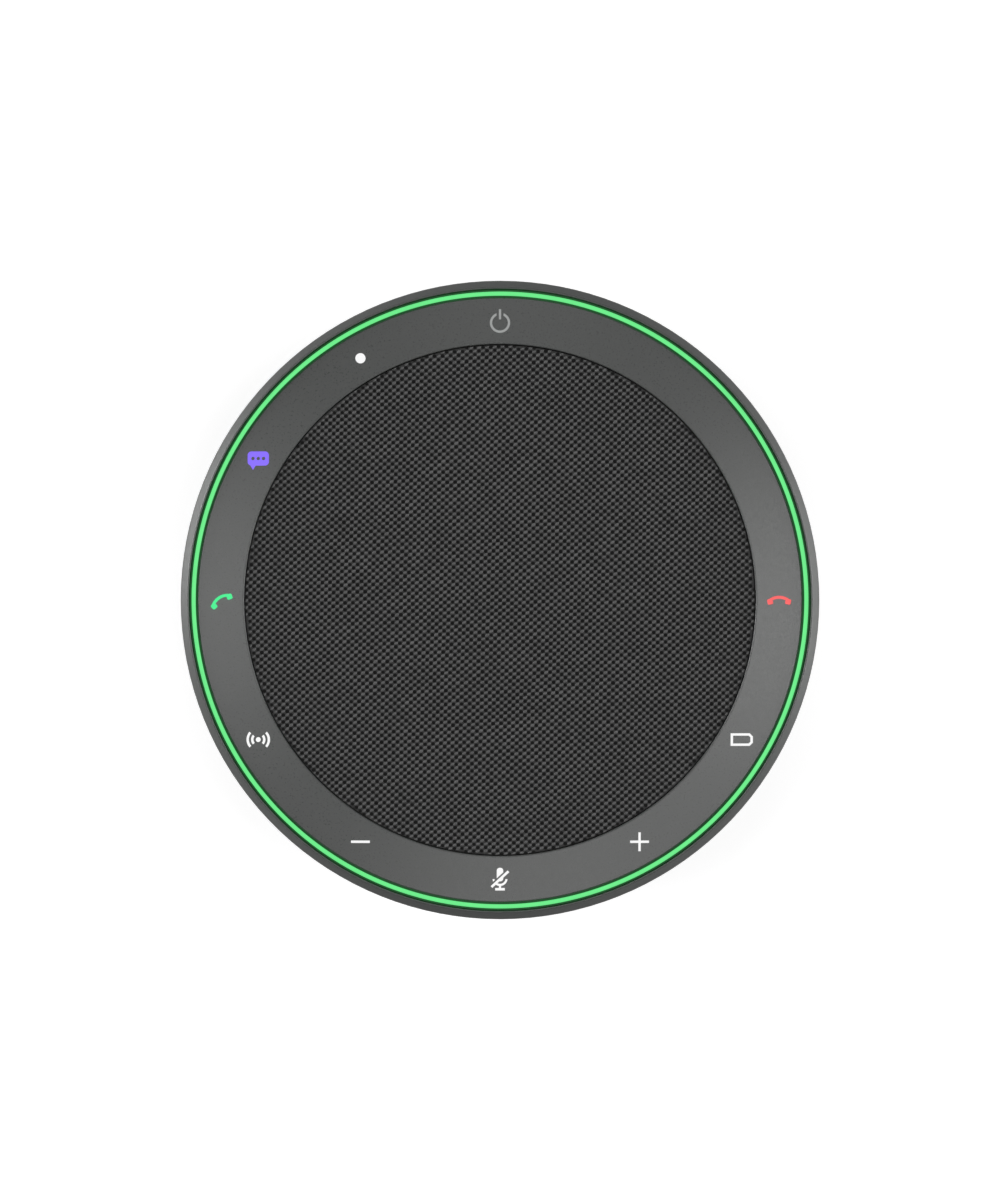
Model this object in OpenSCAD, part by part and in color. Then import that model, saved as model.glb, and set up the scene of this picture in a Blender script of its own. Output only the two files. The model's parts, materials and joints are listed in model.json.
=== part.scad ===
// Round conference speakerphone: a low, puck-shaped casing with a cloth-covered loudspeaker in the
// middle, a ring of touch symbols around it and a lit ring inside the rounded shoulder.
// Sizes are in millimetres. The origin is on the table under the middle of the casing, +Z is up and
// +Y points to the back, where the power symbol and the socket are.

/* [Casing] */
// Outside diameter of the casing
body_d = 132.5; // [128:0.5:150]
// Wall thickness of the upper casing
wall = 2.2; // [1.9:0.1:2.8]
// Wall thickness of the lower casing
bowl_wall = 2.6; // [2.3:0.1:3]
// Width of the sloped shoulder, seen from above
shoulder_w = 1.8; // [1.5:0.1:2.4]
// Height of the sloped shoulder
shoulder_h = 1.8; // [1.4:0.1:2.6]
// Flat land on top of the shoulder
shoulder_land = 0.3; // [0.2:0.05:0.5]
// Rounding at the foot of the shoulder
shoulder_round = 1; // [0.4:0.1:1.4]
// Height of the upper casing from its top to the joint
skirt_h = 12; // [11:0.5:13]
// Step inwards at the joint between the two casings
joint_step = 0.2; // [0.1:0.05:0.4]
// Depth of the shadow groove at the joint
joint_groove = 0.4; // [0.2:0.1:0.6]
// Height of the guiding lip inside the joint
lip_h = 1.8; // [1.2:0.1:2]
// Thickness of the guiding lip
lip_t = 1.4; // [1:0.1:1.8]
// Thickness of the floor
floor_t = 2; // [1.8:0.1:2.6]
// Depth of the bare label recess in the floor
label_sink = 0.3; // [0.2:0.1:0.5]

/* [Foot] */
// Width of the rubber foot ring
foot_w = 7; // [5.5:0.5:9]
// How far the foot stands below the casing
foot_proud = 1.2; // [0.8:0.1:2]
// How far the foot is let into the floor
foot_sink = 0.8; // [0.5:0.1:1]
// Distance from the foot to the edge of the floor
foot_edge = 1; // [0.6:0.1:2]
// Rounding of the foot edges
foot_round = 0.5; // [0.2:0.1:0.8]

/* [Top face] */
// Width of the touch ring around the grille
ring_w = 9.7; // [9:0.1:11]
// Thickness of the touch ring at its outer edge
ring_t = 3; // [2.6:0.1:4]
// Fall of the touch ring from its inner to its outer edge
ring_fall = 1; // [0.4:0.1:1.6]
// How far the outer edge of the touch ring lies below the shoulder
ring_sink = 0.6; // [0.3:0.1:1.2]
// Rounding of the touch ring edges
ring_round = 0.3; // [0.1:0.05:0.5]
// Thickness of the grille cloth
cloth_t = 0.6; // [0.4:0.05:0.8]
// How far the cloth lies below the touch ring
cloth_sink = 0.2; // [0.1:0.05:0.5]
// Gap between the cloth and the touch ring
cloth_gap = 0.15; // [0.1:0.05:0.4]
// Thickness of the grille plate
plate_t = 1.2; // [1:0.1:1.6]
// Diameter of the holes in the grille plate
grille_hole = 2.2; // [1.6:0.1:2.6]
// Distance between the rings of holes
grille_pitch = 3.4; // [3.2:0.1:4]
// Visible width of the light ring
light_w = 0.85; // [0.6:0.05:1.4]
// Groove between the touch ring and the light ring
groove_in = 0.4; // [0.3:0.05:0.7]
// Groove between the light ring and the shoulder
groove_out = 0.55; // [0.3:0.05:0.8]
// How far the light ring stands above the touch ring
light_rise = 0.2; // [0:0.05:0.5]

/* [Symbols] */
// Depth of the symbols in the touch ring
symbol_depth = 0.5; // [0.3:0.05:0.7]
// Line width of the symbols
stroke = 0.48; // [0.4:0.01:0.65]
// Play around each symbol
symbol_play = 0.03; // [0.02:0.01:0.05]
// Diameter of the power symbol circle
power_d = 4.2; // [4:0.1:5]
// Diameter of the status dot
dot_d = 2.1; // [1.6:0.1:3]
// Length of the volume bars
volume_l = 3.9; // [3.4:0.1:5]
// Length of the call symbols
handset_l = 4.9; // [4.6:0.1:5.4]
// Length of the battery symbol
cell_l = 4.6; // [4:0.1:5.4]
// Height of the battery symbol
cell_h = 2.6; // [2.2:0.1:3]
// Height of the microphone symbol
mic_h = 4.7; // [4.5:0.1:5.2]
// Width of the speech bubble
bubble_w = 4.4; // [4:0.1:5]

/* [Loudspeaker] */
// Diameter of the cone
cone_d = 52.8; // [50:0.4:56]
// Depth of the cone
cone_depth = 3.4; // [3:0.1:4.4]
// Thickness of the cone
cone_t = 0.4; // [0.3:0.05:0.5]
// Diameter of the voice coil former
coil_d = 25; // [23:0.5:27]
// Height of the voice coil winding
coil_h = 4; // [3.2:0.2:4.2]
// Travel of the cone each way from rest
cone_travel = 1.8; // [1:0.1:1.8]
// Air gap each side of the voice coil
coil_gap = 0.35; // [0.3:0.05:0.5]
// Width of the surround roll
roll_w = 3; // [2.6:0.1:3.6]
// Width of the screw flange of the basket
flange_w = 4.8; // [4.6:0.1:6]
// Thickness of the flange
flange_t = 1.2; // [1:0.1:1.8]
// Thickness of the magnet
magnet_t = 3.2; // [3:0.1:5]
// Thickness of the pole plate
pole_t = 2; // [1.8:0.1:2.6]
// Wall of the magnet cup
cup_wall = 2.7; // [2.2:0.1:3.2]
// Floor of the magnet cup
cup_floor_t = 1.8; // [1.5:0.1:2.4]

/* [Inside] */
// Length of the battery pack
battery_l = 76; // [60:1:82]
// Width of the battery pack
battery_w = 50; // [40:1:56]
// Thickness of the battery pack
battery_t = 6.5; // [5:0.1:9]
// Thickness of the foam pad under the battery
pad_t = 0.5; // [0.3:0.1:1]
// Free height above the battery
battery_room = 0.7; // [0.4:0.1:2]
// Wall of the speaker chamber
chamber_wall = 1.8; // [1.4:0.1:2.4]
// Thickness of the chamber seal
seal_t = 0.8; // [0.5:0.1:1.2]
// Thickness of the inner frame
frame_t = 2; // [1.8:0.1:2.6]
// Free height above the inner frame
front_h = 3.3; // [3:0.1:5]
// Thickness of the touch board
touch_board_t = 1; // [0.8:0.1:1.4]
// Height of the main board posts
post_h = 11.8; // [11:0.2:12.6]
// Thickness of the main board
board_t = 1.4; // [1:0.1:1.6]
// Number of lamps under the light ring
lamp_count = 24; // [16:8:24]

/* [Socket] */
// Width of the socket shell
socket_w = 8.94; // [8.8:0.02:9.1]
// Height of the socket shell
socket_h = 3.26; // [3.1:0.02:3.4]
// Depth of the socket shell
socket_l = 7.3; // [6.8:0.1:8]
// Width of the pocket around the socket
pocket_w = 13.4; // [12.6:0.2:15]
// Height of the pocket around the socket
pocket_h = 7.2; // [6.6:0.2:8]
// Depth of the pocket around the socket
pocket_d = 3; // [2.4:0.1:3.6]

/* [Part to draw] */
// Part to draw, or all of them

/* [Hidden] */
$fn = 96;

// Overlap of cuts, thickness of glue, play of fitted pieces, play of screws, gap between neighbours
eps = 0.05;
glue_t = 0.02;
fit = 0.1;
slip = 0.2;
clear = 0.3;

// Upper casing: inner shelf, screw bosses, edge of the cloth
shelf_t = 1.8;
shelf_w = 4;
boss_r = 2.2;
boss_in = 1;
cloth_wrap = 0.4;

// Inner frame: edge play, rim under the touch board, wall under the grille, pillars and bosses
frame_play = 0.5;
rib_w = 1.2;
grille_wall = 2;
pillar_rad = 3.6;
pillar_lift = 2.2;
pillar_gap = 1;
boss_gap = 0.5;

// Lower casing: board posts, rims around pillars, socket block, lip and label recess
post_rad = 3;
post_out = 3;
cut_rim = 0.6;
block_rim = [2.6, 2];
mouth_wall = 1.8;
lip_root = 4;
label_edge = 4;
corner = 3;

// Light ring and touch ring: foot, lamps, wells over the lamps
light_foot_h = 1.6;
lamp_h = 0.8;
ring_lamp = [1, 2, lamp_h];
symbol_lamp = [1.6, 1.6, lamp_h];
well_r = 2.2;

// Microphones: body, distance from the ring edge, port, channel to the groove, rubber wall
mic_size = [2.65, 3.5, 1];
mic_in = 1.3;
mic_port = 0.9;
mic_way = [5, 1.4, 1.2];
boot_t = 1;

// Loudspeaker: leaf thickness, glued edges, seat, basket walls and windows
leaf_t = 0.4;
glue_w = 1.4;
seat_sink = 0.5;
seat_w = 1.8;
basket_wall = 1;
collar_t = 2.2;
collar_h = 1.5;
ledge_in = 2;
ledge_w = 3;
ledge_t = 1.2;
window = [4.4, 9, 2];
gasket_w = 1.1;
tab_size = [10, 4.4, 1];

// Moving assembly: former, winding, free heights, spider waves, dome of the cap
former_t = 0.25;
winding_t = 0.45;
spider_clear = 0.4;
neck_rise = 1.4;
wave_in = 1.8;
wave_h = 0.3;
wave_count = 3;
cap_rise = 2;
pole_over = 1;
cup_clear = 0.7;

// Speaker chamber: floor, screw rim, wall of the grommet
chamber_floor_t = 1.4;
rim_w = 4.4;
rim_t = 1.6;
grommet_t = 1.1;

// Main board: edges, tongue under the socket, chips, shield and where they stand
board_gap = 1.5;
board_edge = 3.2;
board_tab_w = 16;
square_chip = [8, 8, 1];
memory_chip = [6, 7, 1.2];
small_chip = [2.4, 2.4, 0.9];
small_out = 4;
shield_size = [8, 12, 2.2];
shield_angle = 253;

// Connectors, ribbon and leads
link_h = 2;
link_in = 0.6;
ribbon_link = [12, 2.4, link_h];
ribbon_in = 1.9;
speaker_link = [5, 3.4, link_h];
battery_link = [6, 3.4, link_h];
ribbon_w = 10;
ribbon_t = 0.3;
lead_t = 0.9;
lead_w = 2.6;
lead_bend = 1.5;
pad_edge = 7;

// Socket shell and its tongue
shell_t = 0.3;
shell_back = 1;
tongue_w = 6.7;
tongue_t = 0.7;
tongue_in = 1.2;

// Screws: head radius, head height, shank radius, shank length
casing_screw = [2.6, 2, 1.2, 9];
frame_screw = [2, 1.4, 1, 5];
chamber_screw = [1.9, 1.4, 0.9, 5];
driver_screw = [1.7, 1.2, 0.9, 3.8];
board_screw = [1.9, 1.2, 0.9, 6];

// Heights, built up from the table
floor_z = foot_proud + floor_t;
foot_top = foot_proud + foot_sink;
head_z = foot_top + casing_screw[1] + slip;
pillar_z = floor_z + pillar_lift;
battery_z = floor_z + pad_t;
chamber_z = battery_z + battery_t + battery_room;
cup_z = chamber_z + chamber_floor_t + cup_clear;
magnet_z = cup_z + cup_floor_t;
pole_z = magnet_z + magnet_t;
gap_z = pole_z + pole_t;
coil_z = (pole_z + gap_z - coil_h) / 2;
spider_z = gap_z + cone_travel + spider_clear;
neck_z = spider_z + neck_rise;
cone_z = neck_z + cone_depth;
flange_z = cone_z + seat_sink;
frame_top = flange_z - flange_t;
frame_z = frame_top - frame_t;
seal_z = frame_z - seal_t;
rim_z = seal_z - rim_t;
shelf_z = frame_top + front_h + shelf_t;
ring_z = shelf_z + touch_board_t;
ring_out_z = ring_z + ring_t;
ring_in_z = ring_out_z + ring_fall;
top_z = ring_out_z + ring_sink;
light_z = ring_out_z + light_rise;
cloth_z = ring_in_z - cloth_sink;
plate_z = cloth_z - cloth_t - plate_t;
joint_z = top_z - skirt_h;
board_z = floor_z + post_h;
board_top = board_z + board_t;
lead_z = board_top + link_h / 2;
socket_z = board_top + socket_h / 2;

// Radii of the top face, from the edge to the middle
body_r = body_d / 2;
inside_r = body_r - wall;
rim_r = body_r - shoulder_w;
light_r = rim_r - groove_out;
light_mid = light_r - light_w / 2;
ring_out_r = light_r - light_w - groove_in;
ring_in_r = ring_out_r - ring_w;
symbol_r = (ring_in_r + ring_out_r) / 2;
cloth_r = ring_in_r - cloth_gap;
plate_r = cloth_r - cloth_wrap;
shelf_r = ring_out_r - shelf_w;
lip_r = inside_r - clear;
frame_r = lip_r - lip_t - frame_play;
frame_screw_r = shelf_r + boss_in;
mic_r = ring_out_r - mic_in;

// Radii of the loudspeaker, from the coil to the flange
coil_r = coil_d / 2;
pole_r = coil_r - former_t - coil_gap;
cup_in_r = coil_r + winding_t + coil_gap;
cup_r = cup_in_r + cup_wall;
cone_r = cone_d / 2;
ledge_r = cone_r - ledge_in;
seat_in_r = cone_r + seat_w;
throat_r = seat_in_r + basket_wall;
roll_r = cone_r - fit + roll_w / 2;
seat_r = roll_r + roll_w / 2 + glue_w + seat_sink;
flange_r = seat_r + flange_w;
driver_screw_r = flange_r - driver_screw[0] - slip;

// Radii of the chamber, the boards and the lower casing
chamber_r = flange_r + slip + chamber_wall;
chamber_screw_r = chamber_r + rim_w / 2;
pillar_r = chamber_r + rim_w + pillar_rad + pillar_gap;
post_r = pillar_r + post_out;
foot_in_r = pillar_r - foot_w / 2;
foot_out_r = pillar_r + foot_w / 2;
bowl_rim = body_r - joint_step;
bowl_run = bowl_rim - foot_out_r - foot_edge;
bowl_fall = joint_z - foot_proud;
bowl_r = (bowl_run * bowl_run + bowl_fall * bowl_fall) / (2 * bowl_run);
bowl_x = bowl_rim - bowl_r;
board_in_r = chamber_r + board_gap;
board_r = bowl_x + sqrt(pow(bowl_r - bowl_wall, 2) - pow(joint_z - board_z, 2)) - board_edge;
board_mid = (board_in_r + board_r) / 2;

// Places along Y of the socket mouth, the ribbon and the inner faces of the lead connectors
mouth_y = bowl_x + sqrt(pow(bowl_r, 2) - pow(joint_z - socket_z, 2)) - pocket_d;
ribbon_y = ribbon_in - shelf_r;
link_y = board_in_r + link_in;

// Angles at which repeated pieces stand
screw_angles = [for (i = [0:5]) i * 60];
lamp_angles = [for (i = [0:lamp_count - 1]) (i + 0.5) * 360 / lamp_count];
quarter_angles = [45, 135, 225, 315];
cross_angles = [0, 90, 180, 270];
post_angles = [20, 80, 100, 160, 200, 340];
square_chip_angles = [40, 140];
memory_chip_angles = [220, 318];
small_chip_angles = [132, 228, 310];
symbol_angles = [90, 120, 150, 180, 210, 240, 270, 300, 330, 0];

// Unit vector along v.
function unit(v) = v / norm(v);

// Points of the rounding that replaces corner b between its neighbours a and c.
function rounded(a, b, c, r, steps = 6) =
    let (u = unit(a - b), v = unit(c - b),
         half = acos(u * v) / 2,
         middle = b + unit(u + v) * r / sin(half),
         first = b + u * r / tan(half) - middle,
         last = b + v * r / tan(half) - middle,
         start = atan2(first.y, first.x),
         turn = atan2(first.x * last.y - first.y * last.x, first * last))
    [for (i = [0:steps]) middle + r * [cos(start + turn * i / steps), sin(start + turn * i / steps)]];

// Height of the corrugated spider at radius r, flat at both glued edges.
function spider_wave(r) =
    let (first = coil_r + wave_in, last = ledge_r - ledge_w - 2 * clear)
    (r < first || r > last) ? 0 : wave_h * sin(360 * wave_count * (r - first) / (last - first));

// Ring of rectangular section.
module ring(inner, outer, h) {
    rotate_extrude()
        translate([inner, 0])
            square([outer - inner, h]);
}

// Block that stands on its base, centred.
module block(size) {
    translate([-size.x / 2, -size.y / 2, 0])
        cube(size);
}

// Children set at radius r, once for every angle, turned to face outwards.
module around(angles, r) {
    for (a = angles)
        rotate([0, 0, a])
            translate([r, 0, 0])
                children();
}

// Screw with its head below and its shank pointing up.
module screw(size) {
    difference() {
        union() {
            translate([0, 0, -size[1]])
                cylinder(h = size[1], r = size[0]);
            cylinder(h = size[3], r = size[2]);
        }
        translate([0, 0, -size[1] - eps])
            cylinder(h = size[1] / 2, r = size[0] / 2, $fn = 6);
    }
}

// Rectangle with round corners, centred.
module round_rect(w, h, r) {
    square([w - 2 * r, h], center = true);
    square([w, h - 2 * r], center = true);
    for (x = [-1, 1], y = [-1, 1])
        translate([x * (w / 2 - r), y * (h / 2 - r)])
            circle(r = r);
}

// Band of width t along a path, with round elbows.
module band(path, t) {
    for (i = [0:len(path) - 2]) {
        step = path[i + 1] - path[i];
        translate(path[i])
            rotate(atan2(step.y, step.x))
                translate([0, -t / 2])
                    square([norm(step), t]);
    }
    for (i = [1:len(path) - 2])
        translate(path[i])
            circle(d = t);
}

// Flat lead of width w that follows a path drawn in the plane of Y and Z.
module lead(path, t, w) {
    translate([-w / 2, 0, 0])
        rotate([90, 0, 90])
            linear_extrude(w)
                band(path, t);
}

// Arc of a symbol: middle radius, line width and half opening around the X axis.
module arc(r, t, half) {
    intersection() {
        difference() {
            circle(r = r + t / 2);
            circle(r = r - t / 2);
        }
        polygon([[0, 0], [2 * r, -2 * r * tan(half)], [2 * r, 2 * r * tan(half)]]);
    }
}

// Symbol outlines, each grown by g on every side.
module power_shape(g) {
    r = (power_d - stroke) / 2;
    drop = 0.4;
    gap = 3 * stroke;
    translate([0, -drop]) {
        difference() {
            circle(r = r + stroke / 2 + g);
            circle(r = r - stroke / 2 - g);
            translate([0, r])
                square([gap - 2 * g, power_d], center = true);
        }
        translate([0, r - fit])
            square([stroke + 2 * g, power_d / 2 + 2 * g], center = true);
    }
}

module dot_shape(g) {
    circle(d = dot_d + 2 * g);
}

module minus_shape(g) {
    square([volume_l + 2 * g, stroke + 2 * g], center = true);
}

module plus_shape(g) {
    minus_shape(g);
    rotate(90)
        minus_shape(g);
}

module handset_shape(g) {
    ear = 1.15;
    ear_round = 0.3;
    ear_drop = 0.35;
    ear_tilt = 12;
    sag = 0.6;
    bow = 0.62;
    grip = (handset_l - ear) / 2;
    r = (grip * grip + sag * sag) / (2 * sag);
    translate([0, ear / 2 - r])
        rotate(90)
            arc(r, bow + 2 * g, asin(grip / r));
    for (side = [-1, 1])
        translate([side * grip, -ear_drop])
            rotate(-side * ear_tilt)
                round_rect(ear + 2 * g, ear + 2 * g, ear_round + g);
}

module answer_shape(g) {
    tilt = 32;
    rotate(tilt)
        handset_shape(g);
}

module bubble_shape(g) {
    h = bubble_w * 2 / 3;
    lift = 0.4;
    bend = 0.8;
    tail = 0.9;
    dot = 0.36;
    difference() {
        union() {
            translate([0, lift])
                round_rect(bubble_w + 2 * g, h + 2 * g, bend + g);
            translate([-bubble_w / 4, lift - h / 2])
                rotate(-90)
                    circle(r = tail + 2 * g, $fn = 3);
        }
        for (x = [-1, 0, 1])
            translate([x * bubble_w / 4, lift])
                circle(r = dot - g);
    }
}

module waves_shape(g) {
    dot = 0.5;
    half = 42;
    circle(r = dot + g);
    for (side = [0, 180], r = [1.25, 2.2])
        rotate(side)
            arc(r, stroke + 2 * g, half);
}

module cell_outline(inset) {
    l = cell_l / 2 - inset;
    h = cell_h / 2 - inset;
    cut = cell_h / 4 - inset * (2 - sqrt(2));
    polygon([[-l, -h], [l - cut, -h], [l, cut - h], [l, h - cut], [l - cut, h], [-l, h]]);
}

module cell_shape(g) {
    difference() {
        cell_outline(-g);
        cell_outline(stroke + g);
    }
}

module mute_shape(g) {
    top = mic_h / 2;
    head = [1.35, 2.8];
    cup_r = 1.35;
    cup_t = 0.42;
    cup_y = top - head.y + 0.6;
    stem = [0.45, 0.6];
    stand = [2, 0.5];
    slash_l = 4.8;
    slash_gap = 0.35;
    tilt = 43;
    difference() {
        union() {
            translate([0, top - head.y / 2])
                round_rect(head.x + 2 * g, head.y + 2 * g, head.x / 2 - eps + g);
            translate([0, cup_y])
                rotate(-90)
                    arc(cup_r, cup_t + 2 * g, 84);
            translate([0, cup_y - cup_r - cup_t])
                square([stem.x + 2 * g, stem.y + 2 * g], center = true);
            translate([0, stand.y / 2 - top])
                square([stand.x + 2 * g, stand.y + 2 * g], center = true);
        }
        rotate(tilt)
            translate([-slash_l / 2, stroke / 2 + g])
                square([slash_l, slash_gap - 2 * g]);
    }
    rotate(tilt)
        square([slash_l + 2 * g, stroke + 2 * g], center = true);
}

module symbol_shape(index, g) {
    if (index == 0) power_shape(g);
    if (index == 1) dot_shape(g);
    if (index == 2) bubble_shape(g);
    if (index == 3) answer_shape(g);
    if (index == 4) waves_shape(g);
    if (index == 5) minus_shape(g);
    if (index == 6) mute_shape(g);
    if (index == 7) plus_shape(g);
    if (index == 8) cell_shape(g);
    if (index == 9) handset_shape(g);
}

// Layer of the touch ring between two depths below its surface.
module ring_layer(deep, high) {
    rotate_extrude()
        polygon([[ring_in_r, ring_in_z - deep], [ring_out_r, ring_out_z - deep],
                 [ring_out_r, ring_out_z - high], [ring_in_r, ring_in_z - high]]);
}

// Upright prism of one symbol at its place on the ring.
module symbol_prism(index, g) {
    a = symbol_angles[index];
    translate([symbol_r * cos(a), symbol_r * sin(a), ring_z])
        linear_extrude(ring_in_z - ring_z)
            symbol_shape(index, g);
}

module symbol_inlay(index) {
    intersection() {
        symbol_prism(index, 0);
        ring_layer(symbol_depth - glue_t, 0);
    }
}

// Outer shell of the lower casing, solid, shrunk inwards by t and starting at height z.
module bowl(t, z) {
    rotate_extrude()
        intersection() {
            union() {
                translate([bowl_x, joint_z])
                    circle(r = bowl_r - t);
                translate([0, z])
                    square([bowl_x, joint_z - z]);
            }
            translate([0, z])
                square([bowl_rim, joint_z - z]);
        }
}

module top_housing() {
    inner = [rim_r, shelf_z];
    crest = [rim_r, top_z];
    brow = [rim_r + shoulder_land, top_z];
    hip = [body_r, top_z - shoulder_h];
    foot = [body_r, joint_z + joint_groove];
    boot = [mic_size.x + 2 * boot_t + fit, mic_size.y + 2 * boot_t + fit, shelf_t + 2 * eps];
    color("#4b4d4c")
    difference() {
        union() {
            rotate_extrude()
                polygon(concat(
                    rounded(inner, crest, brow, shoulder_land / 2),
                    rounded(crest, brow, hip, shoulder_land),
                    rounded(brow, hip, foot, shoulder_round),
                    [foot, [body_r - joint_groove, joint_z], [inside_r, joint_z],
                     [inside_r, shelf_z - shelf_t], [shelf_r, shelf_z - shelf_t],
                     [shelf_r, shelf_z], inner]));
            translate([0, 0, frame_top])
                around(screw_angles, frame_screw_r)
                    cylinder(h = front_h + eps, r = boss_r);
        }
        translate([0, 0, frame_top - eps])
            around(screw_angles, frame_screw_r)
                cylinder(h = front_h + eps, r = frame_screw[2] + fit / 2);
        translate([0, 0, shelf_z - shelf_t - eps])
            around(quarter_angles, mic_r)
                block(boot);
    }
}

module bottom_housing() {
    socket_block = [pocket_w + 2 * block_rim.x, body_r, pocket_h + 2 * block_rim.y];
    color("#2b2d2d")
    difference() {
        union() {
            difference() {
                bowl(0, foot_proud);
                bowl(bowl_wall, floor_z);
            }
            translate([0, 0, joint_z - lip_root])
                ring(lip_r - lip_t, lip_r, lip_root + lip_h);
            translate([0, 0, foot_top + eps])
                around(screw_angles, pillar_r)
                    cylinder(h = pillar_z - foot_top - eps, r = pillar_rad + cut_rim);
            intersection() {
                bowl(0, foot_proud);
                union() {
                    translate([0, 0, floor_z - eps])
                        around(post_angles, post_r)
                            cylinder(h = post_h + eps, r = post_rad);
                    translate([0, mouth_y - mouth_wall + body_r / 2, socket_z - socket_block.z / 2])
                        block(socket_block);
                }
            }
        }
        translate([0, mouth_y, socket_z])
            rotate([-90, 0, 0])
                linear_extrude(body_r)
                    round_rect(pocket_w, pocket_h, corner);
        translate([0, mouth_y - 2 * mouth_wall, socket_z])
            rotate([-90, 0, 0])
                linear_extrude(3 * mouth_wall)
                    round_rect(socket_w + 2 * fit, socket_h + 2 * fit, socket_h / 2 + fit - eps);
        translate([0, 0, -eps])
            ring(foot_in_r - fit, foot_out_r + fit, foot_top + eps);
        translate([0, 0, -eps])
            cylinder(h = foot_proud + label_sink + eps, r = foot_in_r - label_edge);
        around(screw_angles, pillar_r) {
            cylinder(h = head_z, r = casing_screw[0] + clear);
            cylinder(h = board_z, r = casing_screw[2] + slip);
        }
        translate([0, 0, board_z - board_screw[3]])
            around(post_angles, post_r)
                cylinder(h = board_screw[3] + eps, r = board_screw[2] + fit / 2);
    }
}

module rubber_foot() {
    a = [foot_in_r, foot_top];
    b = [foot_in_r, 0];
    c = [foot_out_r, 0];
    d = [foot_out_r, foot_top];
    color("#1d1e1e")
    rotate_extrude()
        polygon(concat([a], rounded(a, b, c, foot_round), rounded(b, c, d, foot_round), [d]));
}

module touch_ring() {
    a = [ring_in_r, ring_z];
    b = [ring_in_r, ring_in_z];
    c = [ring_out_r, ring_out_z];
    d = [ring_out_r, ring_z];
    color("#4d4f4e")
    difference() {
        rotate_extrude()
            polygon(concat([d, a], rounded(a, b, c, ring_round), rounded(b, c, d, ring_round)));
        for (i = [0:len(symbol_angles) - 1])
            intersection() {
                symbol_prism(i, symbol_play);
                ring_layer(symbol_depth, -symbol_depth);
            }
        translate([0, 0, ring_z - eps])
            around(symbol_angles, symbol_r)
                cylinder(h = lamp_h + 2 * slip, r = well_r);
        translate([0, 0, ring_z])
            around(quarter_angles, light_mid)
                cube(mic_way, center = true);
    }
}

module light_ring() {
    foot_in = ring_out_r + fit;
    foot_out = rim_r - fit;
    pocket = [shelf_w, ring_lamp.y + 2 * clear, 2 * (lamp_h + slip)];
    color("#78f294")
    difference() {
        rotate_extrude() {
            translate([light_r - light_w, ring_z])
                square([light_w, light_z - ring_z - light_w / 2]);
            translate([light_mid, light_z - light_w / 2])
                circle(d = light_w);
            translate([foot_in, ring_z])
                square([foot_out - foot_in, light_foot_h]);
        }
        translate([0, 0, ring_z]) {
            around(lamp_angles, light_mid)
                cube(pocket, center = true);
            around(quarter_angles, light_mid)
                cube(mic_way, center = true);
        }
    }
}

module grille_cloth() {
    middle = [0, cloth_z];
    edge = [cloth_r, cloth_z];
    low = [cloth_r, plate_z];
    color("#3a3a3a")
    rotate_extrude()
        polygon(concat(
            [[0, cloth_z - cloth_t], middle],
            rounded(middle, edge, low, cloth_t / 2),
            [low, [plate_r + eps, plate_z], [plate_r + eps, cloth_z - cloth_t]]));
}

module grille_plate() {
    rows = floor((cone_r + roll_w) / grille_pitch);
    color("#202121")
    translate([0, 0, plate_z])
        difference() {
            cylinder(h = plate_t, r = plate_r);
            translate([0, 0, -eps]) {
                cylinder(h = plate_t + 2 * eps, d = grille_hole, $fn = 24);
                for (row = [1:rows], i = [1:6 * row])
                    rotate([0, 0, i * 60 / row])
                        translate([row * grille_pitch, 0, 0])
                            cylinder(h = plate_t + 2 * eps, d = grille_hole, $fn = 24);
            }
        }
}

module power_symbol() {
    color("#a5a8a6")
    symbol_inlay(0);
}

module status_dot() {
    color("#f6f6f6")
    symbol_inlay(1);
}

module meeting_symbol() {
    color("#8c73ff")
    symbol_inlay(2);
}

module answer_symbol() {
    color("#50f096")
    symbol_inlay(3);
}

module wireless_symbol() {
    color("#f6f6f6")
    symbol_inlay(4);
}

module volume_down_symbol() {
    color("#f6f6f6")
    symbol_inlay(5);
}

module mute_symbol() {
    color("#f6f6f6")
    symbol_inlay(6);
}

module volume_up_symbol() {
    color("#f6f6f6")
    symbol_inlay(7);
}

module battery_symbol() {
    color("#f6f6f6")
    symbol_inlay(8);
}

module end_call_symbol() {
    color("#fa6969")
    symbol_inlay(9);
}

module touch_board() {
    color("#1f4d33")
    translate([0, 0, shelf_z])
        difference() {
            ring(ring_in_r + clear, rim_r - fit, touch_board_t);
            translate([0, 0, -eps])
                around(quarter_angles, mic_r)
                    cylinder(h = touch_board_t + 2 * eps, d = mic_port);
        }
}

module ring_lamps() {
    color("#e8f0d8")
    translate([0, 0, ring_z])
        around(lamp_angles, light_mid)
            block(ring_lamp);
}

module symbol_lamps() {
    color("#e8f0d8")
    translate([0, 0, ring_z])
        around(symbol_angles, symbol_r)
            block(symbol_lamp);
}

module microphones() {
    color("#c9c4b0")
    translate([0, 0, shelf_z - mic_size.z])
        around(quarter_angles, mic_r)
            block(mic_size);
}

module microphone_boots() {
    color("#232424")
    translate([0, 0, shelf_z - shelf_t])
        around(quarter_angles, mic_r)
            difference() {
                block([mic_size.x + 2 * boot_t, mic_size.y + 2 * boot_t, shelf_t]);
                translate([0, 0, shelf_t - mic_size.z - eps])
                    block([mic_size.x + fit, mic_size.y + fit, mic_size.z + fit]);
            }
}

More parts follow.
